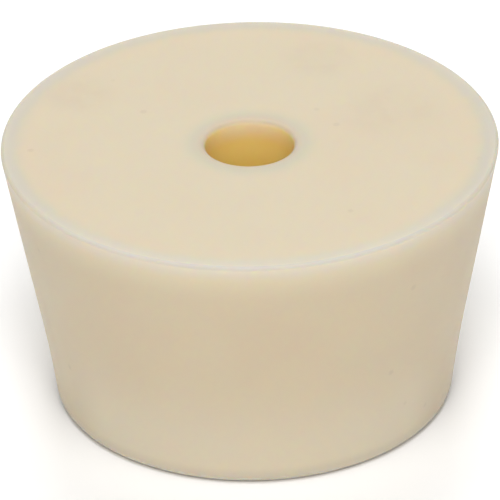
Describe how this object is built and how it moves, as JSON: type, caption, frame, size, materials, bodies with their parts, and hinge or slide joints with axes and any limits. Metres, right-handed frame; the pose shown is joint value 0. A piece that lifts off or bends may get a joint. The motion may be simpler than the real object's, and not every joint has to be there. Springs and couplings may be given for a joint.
{
  "type": "rubber stopper",
  "caption": "Tapered round stopper of cream rubber, with a straight through bore on its axis, softly rounded rims and a slightly flared foot.",
  "frame": {"origin": "centre of the underside, which is the small end that the stopper stands on", "axes": "+Z along the axis of the body and of the bore, from the small end up to the large end; X and Y are equivalent"},
  "size_m": [0.0448, 0.0448, 0.0252],
  "materials": {
    "cream_rubber": "smooth moulded satin, slightly translucent"
  },
  "bodies": {
    "root": {"stopper": "cream_rubber"}
  },
  "joints": []
}
